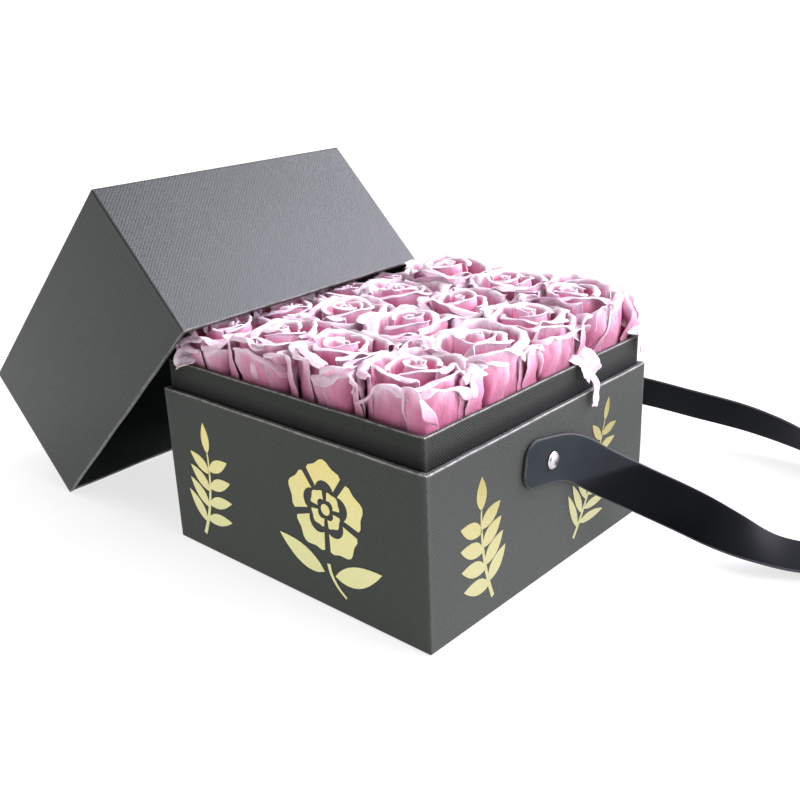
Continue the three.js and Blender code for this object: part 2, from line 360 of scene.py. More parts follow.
# -------------------------------------------------------------- wrapped trays
def ring_points(a, rc, nside, narc, seed, wob):
    """A rounded square of half width a, corner radius rc, as (x, y) and a corner weight."""
    pts = []
    corners = [(a, -a), (a, a), (-a, a), (-a, -a)]
    dirs = [(0, 1), (-1, 0), (0, -1), (1, 0)]
    for c in range(4):
        cx, cy = corners[c]
        px, py = cx - math.copysign(rc, cx), cy - math.copysign(rc, cy)
        a0 = {0: -90, 1: 0, 2: 90, 3: 180}[c]
        for i in range(narc):
            t = math.radians(a0 + 90 * i / (narc - 1))
            pts.append((px + rc * math.cos(t), py + rc * math.sin(t), 1.0))
        d = dirs[c]
        nx, ny = corners[(c + 1) % 4]
        qx, qy = nx - math.copysign(rc, nx), ny - math.copysign(rc, ny)
        sx, sy = px + rc * math.cos(math.radians(a0 + 90)), py + rc * math.sin(math.radians(a0 + 90))
        ex, ey = qx + rc * math.cos(math.radians(a0 + 90)), qy + rc * math.sin(math.radians(a0 + 90))
        for i in range(1, nside):
            f = i / nside
            f = 0.5 - 0.5 * math.cos(math.pi * f) if nside > 4 else f
            x, y = sx + (ex - sx) * f, sy + (ey - sy) * f
            w = max(0.0, 1 - min(f, 1 - f) * (2 * a) / 1.6)
            pts.append((x, y, w))
    return pts


def tray(name, half, height, wall, floor, mat, seed, rim_r=0.75, corner=1.0, bow=0.25, rim_wear=0.55, corner_wear=0.03, base_wear=0.04, to_world=None, z_floor=None):
    """An open box wrapped in paper: floor at z=0, rim at z=height, in mm; to_world places it."""
    rng = np.random.default_rng(seed)
    ph = rng.uniform(0, 6.28, 12)
    nside, narc = 26, 5
    prof = []  # (inset, z, wear, is inner)
    r = 0.9
    prof.append((6.0, 0.0, 0, 0))
    prof.append((r + 0.6, 0.0, 0, 0))
    for t in np.linspace(-90, 0, 5):
        prof.append((r - r * math.cos(math.radians(t)), r + r * math.sin(math.radians(t)), base_wear * (1 if -80 < t < -10 else 0.3), 0))
    for z in np.linspace(r + 0.8, height - rim_r - 0.7, 13):
        prof.append((0.0, z, 0, 0))
    # the rim: two rounded board edges with a narrow flat between them
    for t in np.linspace(0, 90, 6):
        w = rim_wear * math.exp(-((t - 48) / 34.0) ** 2)
        prof.append((rim_r - rim_r * math.cos(math.radians(t)), height - rim_r + rim_r * math.sin(math.radians(t)), w, 0))
    prof.append((wall / 2, height + 0.0, rim_wear * 0.15, 0))
    for t in np.linspace(90, 180, 6):
        w = 0.7 * rim_wear * math.exp(-((t - 132) / 34.0) ** 2)
        prof.append((wall - rim_r - rim_r * math.cos(math.radians(t)), height - rim_r + rim_r * math.sin(math.radians(t)), w, 1))
    for z in np.linspace(height - rim_r - 0.8, floor + 0.8, 9):
        prof.append((wall, z, 0, 1))
    for t in np.linspace(0, 90, 4):
        prof.append((wall + 0.6 - 0.6 * math.cos(math.radians(t)), floor + 0.6 - 0.6 * math.sin(math.radians(t)), 0, 1))
    prof.append((wall + 6, floor, 0, 1))
    verts, faces, wear = [], [], []
    n = None
    for inset, z, w, inner in prof:
        a = half - inset
        rc = max(0.45, corner - inset) if not inner else 0.7
        if inset > 5:
            rc = 3
        pts = ring_points(a, rc, nside, narc, seed, 0)
        n = len(pts)
        for i, (x, y, cw) in enumerate(pts):
            # boards bow very slightly between the corners, the same on both sides of a wall
            fx, fy = x / half, y / half
            bz = math.sin(math.pi * min(max(z / height, 0), 1)) * 0.6 + 0.4 * (z / height)
            k = bow * bz * (0.6 + 0.4 * math.sin(2.1 * z / height + ph[0]))
            if abs(x) >= abs(y):
                off = k * max(0, 1 - fy * fy) * (0.7 + 0.3 * math.sin(3 * fy + ph[1 if x > 0 else 2]))
                x -= math.copysign(off * 0.8, x)
            else:
                off = k * max(0, 1 - fx * fx) * (0.7 + 0.3 * math.sin(3 * fx + ph[3 if y > 0 else 4]))
                y -= math.copysign(off * 0.8, y)
            dz = 0.0
            if z > height - 3:
                s = x if abs(y) > abs(x) else y
                dz = 0.12 * math.sin(s * 0.11 + ph[5]) + 0.06 * math.sin(s * 0.43 + ph[6]) + (0.16 if cw > 0.5 else 0) - 0.18
            verts.append((x, y, z + dz))
            cwear = corner_wear * cw * (0.4 + 0.6 * (z / height) ** 3) if not inner and inset < 5 else 0.0
            wear.append(min(1, max(w, cwear) + (0.25 * w if cw > 0.6 else 0)))
    for k in range(len(prof) - 1):
        for i in range(n):
            j = (i + 1) % n
            faces.append((k * n + i, k * n + j, (k + 1) * n + j, (k + 1) * n + i))
    faces.append(tuple(reversed(range(n))))
    last = (len(prof) - 1) * n
    faces.append(tuple(last + i for i in range(n)))
    V = np.array(verts)
    o = mesh_from(name, V * MM, faces, mat, True, {"wear": wear})
    for p in o.data.polygons:
        if len(p.vertices) > 4:
            p.use_smooth = False
    if to_world is not None:
        o.matrix_world = to_world
    return o


base = tray("base_box_wrapped", 100, 97, 3.0, 3.0, M_BASE, 3)
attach(base, "base")
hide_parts("base_floor", "base_wall_front", "base_wall_back", "base_wall_left", "base_wall_right")

neck = tray("neck_wrapped", 96.7, 110.7, 2.4, 0.8, M_NECK, 8, rim_r=0.55, corner=0.9, bow=0.12, rim_wear=0.5, corner_wear=0.03, base_wear=0)
neck.matrix_world = Matrix.Translation((0, 0, 3.3 * MM))
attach(neck, "base")
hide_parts("neck_front", "neck_back", "neck_left", "neck_right")

yaw, slope = math.radians(1.95), math.radians(43.55)
LV = Vector((-math.sin(yaw), math.cos(yaw), 0))
LU = Vector((math.cos(yaw) * math.cos(slope), math.sin(yaw) * math.cos(slope), math.sin(slope)))
LN = LU.cross(LV)
LO = Vector((-213.9, -11.06, 0)) + 100 * LU
# tray local z runs from the top panel (0) to the rim (99)
lid_m = Matrix((LU, -LV, -LN)).transposed().to_4x4()
lid_m.translation = (LO + 99 * LN) * MM
lid = tray("lid_wrapped", 100, 99, 3.0, 3.0, M_LID, 21, corner_wear=0.03, base_wear=0.05, rim_wear=0.3, bow=0.3, to_world=lid_m)
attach(lid, "lid")
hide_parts("lid_top", "lid_wall_front", "lid_wall_back", "lid_wall_upper", "lid_wall_lower")

# ------------------------------------------------------------------- strap
X0 = 101.3
ROUTE = np.array([
    [X0, -24, 74.2, 0], [X0, -12, 72.2, 0], [X0, 0, 70, 0], [X0 + 0.4, 12, 67.2, 0],
    [X0 + 2.2, 24, 62.0, 2], [110.2, 38, 51.5, 7],
    [127.5, 56, 37.4, 17], [149.5, 69, 25.6, 34], [166, 73.5, 19.4, 52], [183, 77.5, 14.2, 70],
    [197, 84, 9.8, 78], [211, 92.5, 7.6, 80], [230, 109, 6.0, 80], [239, 136, 5.8, 77],
    [233, 167, 6.6, 69], [212, 196, 9.2, 58], [182, 216, 13.0, 44], [150, 226, 17.4, 32], [114, 228, 22.2, 26], [71, 225, 25.2, 23],
    [35, 225, 26.2, 21], [0, 221, 27, 19], [-38, 207, 28.4, 16], [-75, 177, 31, 12], [-96.5, 136, 36, 6],
    [-103.6, 92, 42.5, 1], [-103.2, 60, 51.5, 0], [-102.2, 28, 61.3, 0], [-X0, 0, 70, 0],
    [-X0, -12, 73.6, 0], [-X0, -24, 77.2, 0]], float)


def catmull(P, per):
    """Centripetal Catmull-Rom through P's rows, as the CAD route has it; P[:, 3] follows linearly."""
    pts, lean = [], []
    n = len(P)
    for i in range(n - 1):
        p1, p2 = P[i, :3], P[i + 1, :3]
        p0 = P[i - 1, :3] if i else 2 * P[0, :3] - P[1, :3]
        p3 = P[i + 2, :3] if i < n - 2 else 2 * P[-1, :3] - P[-2, :3]
        d = [max(1e-4, np.dot(b - a, b - a) ** 0.25) for a, b in ((p0, p1), (p1, p2), (p2, p3))]
        if d[1] < 1e-4:
            d[1] = 1.0
        t1 = (p1 - p0) / d[0] - (p2 - p0) / (d[0] + d[1]) + (p2 - p1) / d[1]
        t2 = (p2 - p1) / d[1] - (p3 - p1) / (d[1] + d[2]) + (p3 - p2) / d[2]
        t1, t2 = t1 * d[1], t2 * d[1]
        for k in range(per):
            t = k / per
            c0, c1, c2, c3 = p1, t1, -3 * p1 + 3 * p2 - 2 * t1 - t2, 2 * p1 - 2 * p2 + t1 + t2
            pts.append(c0 + c1 * t + c2 * t * t + c3 * t ** 3)
            lean.append(P[i, 3] + (P[i + 1, 3] - P[i, 3]) * t)
    pts.append(P[-1, :3]); lean.append(P[-1, 3])
    return np.array(pts), np.array(lean)


def smooth_open(a, n):
    a = a.copy()
    for _ in range(n):
        b = a.copy()
        b[1:-1] = 0.25 * a[:-2] + 0.5 * a[1:-1] + 0.25 * a[2:]
        a = b
    return a


def make_strap():
    P, lean = catmull(ROUTE, 12)
    d = np.concatenate([[0], np.cumsum(np.linalg.norm(np.diff(P, axis=0), axis=1))])
    L = d[-1]
    N = 420
    # denser stations at the rounded ends
    s = np.concatenate([L * 0 + 13.6 * (1 - np.cos(np.linspace(0, np.pi / 2, 14))), np.linspace(13.6, L - 13.6, N)[1:-1],
                        L - 13.6 * (1 - np.cos(np.linspace(np.pi / 2, 0, 14)))])
    C = np.stack([np.interp(s, d, P[:, k]) for k in range(3)], 1)
    ln = smooth_open(np.interp(s, d, lean), 30)
    T = np.gradient(C, axis=0)
    T /= np.linalg.norm(T, axis=1)[:, None]
    T = smooth_open(T, 3)
    T /= np.linalg.norm(T, axis=1)[:, None]
    side = np.cross(T, np.array([0, 0, 1.0]))
    side /= np.linalg.norm(side, axis=1)[:, None]
    rise = np.cross(side, T)
    a = np.radians(ln)[:, None]
    face = side * np.cos(a) + rise * np.sin(a)
    wide = rise * np.cos(a) - side * np.sin(a)
    # section: rounded edges, the face very slightly crowned
    hw, ht, er = 13.4, 1.0, 0.85
    sec = []
    ws = np.concatenate([np.linspace(-(hw - er), hw - er, 15)])
    for w in ws:
        sec.append((w, ht, 0.0))
    for t in np.linspace(90, -90, 7)[1:-1]:
        sec.append((hw - er + er * math.cos(math.radians(t)), (ht) * math.sin(math.radians(t)), 1.0))
    for w in ws[::-1]:
        sec.append((w, -ht, 0.0))
    for t in np.linspace(-90, -270, 7)[1:-1]:
        sec.append((-(hw - er) + er * math.cos(math.radians(t)), ht * math.sin(math.radians(t)), 1.0))
    sec = np.array(sec)
    m = len(sec)
    V, EDGE_PAINTED_LIGHT, TAB_PAINTED_LIGHT = [], [], []
    R = 9.6  # corner radius of the tab end
    rng = np.random.default_rng(5)
    for i in range(len(s)):
        e = min(s[i], L - s[i])
        # rounded-rectangle end: straight middle, radiused corners
        if e < R:
            lim = (hw - R) + math.sqrt(max(0.0, R * R - (R - e) ** 2))
        else:
            lim = hw
        k = lim / hw
        endround = min(1.0, (e + 0.12) / 0.8) ** 0.5
        for (w, t, ed) in sec:
            tt = t * endround
            crown = 0.12 * (1 - (w / hw) ** 2) * (1 if t > 0 else -1) * (0.0 if ed else 1) * endround
            # the flat tab ends at a diagonal crease; beyond it the leg first kicks out, then eases back
            past = e - 71.0 - 1.2 * w * (1 if s[i] < L / 2 else -0.4)
            kick = 1.15 * (math.sqrt(past * past + 1.2) + past) / 2 * math.exp(-max(0, past) / 14.0) if past > -12 else 0.0
            pinch = -0.55 * math.exp(-(past / 1.6) ** 2)
            V.append(C[i] + wide[i] * (w * k) + face[i] * (tt * 0.9 + crown * 0.8 + 0.42 * kick + pinch))
            # painted highlight mask: the rounded edges and the very ends of the strap
            EDGE_PAINTED_LIGHT.append(max(ed, 1.0 if e < 0.6 else 0.0))
            # painted light mask: 1 on the flat tab, falling to 0 at the diagonal crease
            TAB_PAINTED_LIGHT.append(1 / (1 + math.exp(min(30, max(-30, past / 0.7)))))
    F = []
    for i in range(len(s) - 1):
        for j in range(m):
            j2 = (j + 1) % m
            F.append((i * m + j, (i + 1) * m + j, (i + 1) * m + j2, i * m + j2))
    F.append(tuple(range(m)))
    F.append(tuple((len(s) - 1) * m + j for j in reversed(range(m))))
    V = np.array(V)
    print("strap length", round(float(L), 1), "lowest", V[:, 2].min().round(2))
    # the edge attribute carries the painted highlight, the tab attribute the painted light
    o = mesh_from("carrying_strap", V * MM, F, M_STRAP, True, {"edge": EDGE_PAINTED_LIGHT, "tab": TAB_PAINTED_LIGHT})
    return o


strap = make_strap()
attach(strap, "handle")
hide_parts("strap")

# ------------------------------------------------------------------ rivets
def lathe_x(name, prof, z, sign, mat, seg=64):
    V, F = [], []
    for (r, x) in prof:
        for k in range(seg):
            a = 2 * math.pi * k / seg
            V.append((sign * x, r * math.cos(a), z + r * math.sin(a)))
    for i in range(len(prof) - 1):
        for k in range(seg):
            j = (k + 1) % seg
            f = (i * seg + k, i * seg + j, (i + 1) * seg + j, (i + 1) * seg + k)
            F.append(f if sign < 0 else tuple(reversed(f)))
    F.append(tuple(range(seg)) if sign > 0 else tuple(reversed(range(seg))))
    e = (len(prof) - 1) * seg
    F.append(tuple(e + k for k in reversed(range(seg))) if sign > 0 else tuple(e + k for k in range(seg)))
    return mesh_from(name, np.array(V) * MM, F, mat)


for side, s in (("right", 1), ("left", -1)):
    xc = 102.5
    prof = [(2.2, 92.2), (2.2, xc - 0.3), (2.25, xc), (4.5, xc), (4.85, xc + 0.05), (5.0, xc + 0.22), (5.0, xc + 0.42), (4.85, xc + 0.62),
            (4.6, xc + 0.7), (4.42, xc + 0.78), (4.3, xc + 1.0)]
    for t in np.linspace(12, 88, 12):
        prof.append((4.35 * math.cos(math.radians(t)) + 0.02, xc + 0.8 + 1.65 * math.sin(math.radians(t))))
    o = lathe_x(f"rivet_cap_{side}", prof, 70, s, M_CHROME)
    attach(o, "base")
    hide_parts(f"rivet_{side}")

# ------------------------------------------------------------------- roses
TOPS = [[135.0, 140.0, 141.0, 139.5], [135.0, 141.5, 142.0, 141.0], [135.5, 142.0, 142.5, 142.0], [132.5, 147.5, 145.0, 144.5]]


def seam(u, z, k):
    """Where two neighbouring roses meet: a gently wavy wall shared by both, in mm."""
    return 1.5 * np.sin(u * 0.16 + k * 1.7) + 0.9 * np.sin(u * 0.31 + z * 0.13 + k * 2.9) + 0.5 * np.sin(z * 0.24 + k)


def press(x, lim):
    """Presses x softly against +lim (lim is an array)."""
    soft = 0.84 * lim
    over = np.maximum(0, x - soft)
    span = lim - soft
    return np.where(x > soft, soft + span * np.tanh(over / span), x)


def step(x, a, b):
    t = np.clip((x - a) / (b - a), 0, 1)
    return t * t * (3 - 2 * t)


def sines(rng, u, freqs, amps):
    return sum(a * np.sin(f * u + rng.uniform(0, 6.28)) for f, a in zip(freqs, amps))


def curl(a, h, w, nx, nz, D, rho, tmax):
    """Rolls the sheet beyond the line n.(a, h) = D outwards round a bend of radius rho, through tmax radians."""
    d = np.maximum(nx * a + nz * h - D, 0)
    th = np.minimum(d / rho, tmax)
    rest = d - rho * th
    d2 = rho * np.sin(th) + rest * np.cos(tmax)
    return a + (d2 - d) * nx, h + (d2 - d) * nz, w + rho * (1 - np.cos(th)) + rest * np.sin(tmax)


def petal(rng, kind, th, R, half, ztop, zbot, nu, nv):
    """One petal as a flat sheet (a across, h up). Straight folds roll its rim and corners back, as on a real
    rose, so it ends in a blunt point between two flaps; the sheet is then wrapped round the rose's axis. mm."""
    t = {"bud": 0.0, "swirl": 0.35, "cup": 0.75, "guard": 1.0}[kind]
    A = R * half
    dep = {"bud": 0.7, "swirl": rng.uniform(1.7, 3.2), "cup": rng.uniform(2.8, 5.4), "guard": rng.uniform(3.4, 6.8)}[kind]
    H = ztop - zbot + 0.75 * dep
    lin = np.linspace(-1, 1, nu)
    # rows are close together near the rim, where the folds are
    q0, n0 = {"bud": (0.3, 2), "swirl": (0.35, 3), "cup": (0.4, 3), "guard": (0.45, 4)}[kind]
    up = 1 - (1 - np.linspace(0, 1, nv - n0)) ** 1.2
    rows = np.concatenate([np.linspace(0, q0, n0, endpoint=False), q0 + (1 - q0) * up])
    u, v = np.meshgrid(np.sign(lin) * np.abs(lin) ** 0.85, rows)
    droop = {"bud": 1.2, "swirl": 1.8, "cup": 2.2, "guard": 2.6}[kind] * rng.uniform(0.7, 1.3)
    htop = H - droop * np.abs(u) ** 3.2 + sines(rng, u, (3.5, 7, 12, 21), (0.5, 0.3, 0.14, 0.07)) * (0.2 + 0.8 * t)
    a, h = A * u, v * htop
    rimd = htop - h
    w = np.zeros_like(a)
    # crumple: soft facets and upright creases
    ph = rng.uniform(0, 6.28, 6)
    w = w + (0.20 + 0.60 * t) * v ** 1.2 * np.sin(0.36 * a + 0.12 * h + ph[0])
    w = w + (0.10 + 0.42 * t) * v ** 1.4 * np.sin(0.75 * a - 0.17 * h + ph[1] + 0.8 * np.sin(0.25 * h + ph[5]))
    fine = np.sin(1.55 * a + np.sin(0.4 * h + 1) * 1.3 + ph[2])
    w = w + (0.06 + 0.09 * t) * v ** 2 * np.sign(fine) * np.abs(fine) ** 0.8
    # a few sharp creases between broad hollows
    w = w + 1.15 * t * v * (0.62 - np.abs(np.sin(0.20 * a + rng.uniform(-0.09, 0.09) * h + ph[4])) ** 0.75)
    w = w + (0.04 + 0.18 * t) * v ** 2 * np.sin(1.0 * h + 0.7 * a + ph[3])
    tipa = rng.uniform(-0.45, 0.45) * A
    near = np.full_like(a, -99.0)
    off = {"bud": (3, 8), "swirl": (4, 13), "cup": (4, 18), "guard": (3, 17)}[kind]
    rad = {"bud": 0.45, "swirl": 0.95, "cup": 1.5, "guard": 2.0}[kind]
    ang = {"bud": (60, 80), "swirl": (95, 140), "cup": (110, 165), "guard": (115, 170)}[kind]
    folds = []
    for sgn in (-1, 1):
        be = math.radians(90 - sgn * rng.uniform(*off))
        folds.append((be, dep * rng.uniform(0.75, 1.25), rad * rng.uniform(0.75, 1.3), math.radians(rng.uniform(*ang))))
    if kind in ("cup", "guard") and rng.uniform() < 0.4:
        sgn = 1 if rng.uniform() < 0.5 else -1
        be = math.radians(90 - sgn * rng.uniform(38, 60))
        folds.append((be, dep + rng.uniform(-1, 1.5) + 1.0, rad * 0.8, math.radians(rng.uniform(110, 165))))
    if rng.uniform() < 0.5:
        folds[:2] = folds[1::-1]
    for be, dp, rho, tm in folds:
        nx, nz = math.cos(be), math.sin(be)
        D = tipa * nx + H * nz - dp
        bent = D + 0.5 * np.sin(0.35 * a + be * 9) * t     # the fold isn't ruler-straight
        near = np.maximum(near, nx * a + nz * h - bent)
        a, h, w = curl(a, h, w, nx, nz, bent, rho, tm)
    if kind in ("cup", "guard"):
        for sgn in (-1, 1):
            edge = A - rng.uniform(1.8, 4.2) * (0.3 + 0.7 * v)
            near = np.maximum(near, np.where(v > 0.12, sgn * a - edge - 0.8, -99))
            a, h, w = curl(a, h, w, sgn, 0.0, edge, rng.uniform(1.1, 1.9), math.radians(rng.uniform(60, 150)))
    # wrap round the axis
    vv = np.clip(h / H, 0, 1.1)
    low = 0.45
    Rp = R * (low + (1 - low) * np.sin(np.minimum(vv / 0.5, 1) * np.pi / 2))
    if kind == "bud":
        Rp = Rp * (1 - 0.40 * step(vv, 0.55, 1.0))
    elif kind == "swirl":
        Rp = Rp * (1 - (0.20 - 0.011 * R) * step(vv, 0.6, 1.0)) + rng.uniform(-0.2, 0.6) * vv ** 2
    elif kind == "cup":
        Rp = Rp + rng.uniform(0.2, 2.0) * np.maximum(0, vv - 0.3) ** 1.4
    else:
        Rp = Rp + rng.uniform(0.3, 2.0) * np.maximum(0, vv - 0.3) ** 1.4
    Rp = Rp + rng.uniform(0.4, 1.5) * t * np.sin(np.pi * np.clip(vv, 0, 1))
    lead = rng.uniform(-0.8, 0.8) * (0.4 + t)
    r = Rp + w + lead * (a / A)
    phi = th + a / R * (0.55 + 0.45 * np.sin(np.minimum(vv * 1.3, 1) * np.pi / 2))
    if t > 0.5:
        c = (np.abs(np.cos(phi)) ** 3.6 + np.abs(np.sin(phi)) ** 3.6) ** (-1 / 3.6)
        r = r * (1 + (c - 1) * (0.45 if kind == "guard" else 0.35))
    r = np.maximum(r, 0.35)
    z = zbot + h
    # rim tone: pale towards the rim and on rolled-back flaps, partly the petals' own colour and partly a painted
    # highlight where the light from above falls
    fall = {"bud": 2.6, "swirl": 3.6, "cup": 6.5, "guard": 11.0}[kind]
    f = 0.12 + 0.42 * np.exp(np.minimum(0, near + 1.0) / fall) + 0.20 * step(near, -2.6 - 1.2 * t, 1.2)
    f = f + 0.20 * np.exp(-(near - 0.5) ** 2 / 1.4) + 0.28 * np.exp(-rimd / 1.0)
    return r * np.cos(phi), r * np.sin(phi), z, np.clip(f + 0.05 * t * fine * v, 0, 1.15), v


def rose(row, col):
    rng = np.random.default_rng(9100 + row * 31 + col * 7)
    cx, cy = (col - 1.5) * 47.0, (row - 1.5) * 47.0
    top = TOPS[row][col]
    V, F, RIM_TONE_AND_LIGHT, HUE, SHADE_BY_DEPTH = [], [], [], [], []
    base_i = 0
    th = rng.uniform(0, 6.28)
    tilt = rng.uniform(-1, 1, 2) * 3.4
    turn = 1 if rng.uniform() < 0.5 else -1
    plan = []
    for i, R in enumerate((1.7, 3.2, 4.8)):
        plan.append(("bud", R, 2.1 - 0.15 * i, top - 0.3 * i - rng.uniform(0, 0.8), top - 15, 22, 12))
    for i, R in enumerate((6.9, 9.0, 11.2, 13.3)):
        plan.append(("swirl", R, rng.uniform(1.15, 1.5) - 0.06 * i, top - 0.3 - 0.25 * i + rng.uniform(-1.3, 1.0), top - 17 - i, 30, 17))
    for i, R in enumerate((15.2, 17.0, 18.6, 20.0)):
        plan.append(("cup", R, rng.uniform(0.92, 1.18), top - 0.6 - 0.5 * i + rng.uniform(-1.8, 1.4), top - 30, 34, 25))
    for i, R in enumerate((21.0, 21.7, 22.3, 22.9, 23.4, 23.9)):
        plan.append(("guard", R, rng.uniform(0.66, 0.95), top - 1.2 - 1.0 * i + rng.uniform(-2.4, 1.6), 84.0, 34, 30))
    # narrower petals stand in the corners between four heads
    for i in range(4):
        plan.append(("corner", 27.4 + rng.uniform(-0.8, 1.2), rng.uniform(0.40, 0.50), top - 3.2 - rng.uniform(0, 4.5), 84.0, 24, 26))
    corner_at = math.radians(45)
    for i, (kind, R, half, zt, zb, nu, nv) in enumerate(plan):
        if kind == "corner":
            th = corner_at + rng.uniform(-0.12, 0.12)
            corner_at += math.pi / 2
            kind = "guard"
        else:
            th += turn * 2.39996 + rng.uniform(-0.3, 0.3)
        x, y, z, f, v = petal(rng, kind, th, R * rng.uniform(0.98, 1.02), half, zt, zb, nu, nv)
        t = min(1.0, R / 21)
        hh = np.clip((z - (top - 26)) / 26, 0, 1.2)
        x = x + tilt[0] * hh * (1 - 0.7 * t)
        y = y + tilt[1] * hh * (1 - 0.7 * t)
        n = x.shape[0]
        idx = np.arange(nu * n).reshape(n, nu) + base_i
        F.append(np.stack([idx[:-1, :-1], idx[:-1, 1:], idx[1:, 1:], idx[1:, :-1]], -1).reshape(-1, 4))
        V.append(np.stack([x, y, z], -1).reshape(-1, 3))
        RIM_TONE_AND_LIGHT.append(f.reshape(-1))
        HUE.append(np.full(nu * n, rng.uniform(0, 1)))
        # painted shade mask: 0 near the top of the head, rising to 1 some 22 mm lower
        SHADE_BY_DEPTH.append(step(top - (4.5 if kind == "guard" else 8) - z, 0, 22).reshape(-1))
        base_i += nu * n
    V = np.concatenate(V); F = np.concatenate(F)
    RIM_TONE_AND_LIGHT, HUE, SHADE_BY_DEPTH = map(np.concatenate, (RIM_TONE_AND_LIGHT, HUE, SHADE_BY_DEPTH))
    x, y, z = V[:, 0], V[:, 1], V[:, 2]
    gx, gy = x + cx, y + cy
    # painted shade: the outer walls keep the full darkening by depth; between the heads it is weaker, as there the
    # petals light each other
    SHADE_BY_DEPTH = SHADE_BY_DEPTH * (0.25 + 0.75 * step(np.maximum(np.abs(gx), np.abs(gy)), 76, 88))
    above = np.clip((z - 116.0) / 9.0, 0, 1)
    def lim(sign, edge, u, k):
        if edge:
            return 23.3 + 4.0 * above
        # near the rims the heads interleave a little
        return 23.35 + seam(u, z, k) * sign + 1.5 * np.clip((z - top + 11) / 11, 0, 1)
    x = press(x, lim(1, col == 3, gy, col + 1))
    x = -press(-x, lim(-1, col == 0, gy, col))
    y = press(y, lim(1, row == 3, gx, 10 + row + 1))
    y = -press(-y, lim(-1, row == 0, gx, 10 + row))
    V = np.stack([x + cx, y + cy, z], 1)
    if col == 0:
        # the column beside the leaning lid bends clear of its rim, walls included
        o = np.array([LO.x, LO.y, LO.z])
        w = (V - o) @ np.array([LN.x, LN.y, LN.z])      # > 0 inside the lid
        uu = (V - o) @ np.array(LU)
        vv = (V - o) @ np.array(LV)
        need = np.where((uu > 93.5) | (vv > 93.5), np.maximum(0, w + 1.2), 0)
        soft = np.clip((uu - 86) / 7.5, 0, 1)
        need = np.maximum(need, np.maximum(0, w + 1.2) * soft)
        soft = np.clip((vv - 86) / 7.5, 0, 1)
        need = np.maximum(need, np.maximum(0, w + 1.2) * soft)
        V[:, 2] -= need / LN.z
    return V, F, RIM_TONE_AND_LIGHT, HUE, SHADE_BY_DEPTH


def rose_object(name, data, thick=0.34):
    V, F, RIM_TONE_AND_LIGHT, HUE, SHADE_BY_DEPTH = data
    o = mesh_from(name, V * MM, F.tolist(), M_PETAL, True, {"rim": RIM_TONE_AND_LIGHT, "hue": HUE, "painted_depth_shade": SHADE_BY_DEPTH})
    m = o.modifiers.new("thick", "SOLIDIFY")
    m.thickness = thick * MM
    m.offset = 0
    m.use_quality_normals = False
    apply_mods(o)
    return o


tris = 0
for row in range(4):
    for col in range(4):
        o = rose_object(f"rose_bloom_{row + 1}{col + 1}", rose(row, col))
        tris += len(o.data.polygons) * 2
        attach(o, "base")
        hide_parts(f"rose_{row + 1}{col + 1}")
print("rose triangles", tris)


def loose_petal(name, spine, widths, face, seed, crumple=1.0, keep=None, nu=22, nv=34):
    """A crumpled petal laid along spine (mm); face is the side it turns outwards; keep pushes points clear."""
    rng = np.random.default_rng(seed)
    P, _ = catmull(np.array([[*p, 0] for p in spine], float), 10)
    d = np.concatenate([[0], np.cumsum(np.linalg.norm(np.diff(P, axis=0), axis=1))])
    s = np.linspace(0, d[-1], nv)
    C = np.stack([np.interp(s, d, P[:, k]) for k in range(3)], 1)
    W = np.interp(s / d[-1], np.linspace(0, 1, len(widths)), widths) / 2
    T = np.gradient(C, axis=0)
    T /= np.linalg.norm(T, axis=1)[:, None]
    Nn = np.array(face, float)[None, :] - (T @ np.array(face, float))[:, None] * T
    Nn /= np.linalg.norm(Nn, axis=1)[:, None]
    B = np.cross(T, Nn)
    u = np.linspace(-1, 1, nu)
    U, S = np.meshgrid(u, s)
    ph = rng.uniform(0, 6.28, 8)
    Wd = W[:, None] * (1 + 0.10 * np.sin(0.45 * S + ph[0]) + 0.04 * np.sin(1.6 * S + ph[1]))
    a = U * Wd
    n = 0.55 * np.sin(0.45 * a + 0.35 * S + ph[2]) + 0.34 * np.sin(0.95 * a - 0.6 * S + ph[3]) + 0.13 * np.sin(2.1 * a + 1.1 * S + ph[4])
    n = crumple * n + 0.03 * a ** 2
    e = 1 - np.abs(U)
    n = n + crumple * 1.3 * np.exp(-e / 0.14) * (0.6 + 0.4 * np.sin(0.35 * S + ph[5]))
    X = C[:, None, :] + B[:, None, :] * a[..., None] + Nn[:, None, :] * n[..., None]
    X = X.reshape(-1, 3)
    if keep is not None:
        X = keep(X)
    idx = np.arange(nu * nv).reshape(nv, nu)
    F = np.stack([idx[:-1, :-1], idx[:-1, 1:], idx[1:, 1:], idx[1:, :-1]], -1).reshape(-1, 4)
    f = 0.93 + 0.12 * np.sin(0.9 * S + 0.4 * a + ph[6])
    o = rose_object(name, (X, F, np.clip(f.reshape(-1), 0, 1.15), np.full(nu * nv, 0.7), np.zeros(nu * nv)), 0.4)
    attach(o, "base")
    return o


def off_right(X):
    lim = np.where(X[:, 2] < 97.6, 100.6, np.where(X[:, 2] < 114.6, 97.4, -999))
    X[:, 0] = np.maximum(X[:, 0], lim)
    return X


def off_front(X):
    lim = np.where(X[:, 2] < 97.6, -100.6, np.where(X[:, 2] < 114.6, -97.4, 999))
    X[:, 1] = np.minimum(X[:, 1], lim)
    return X


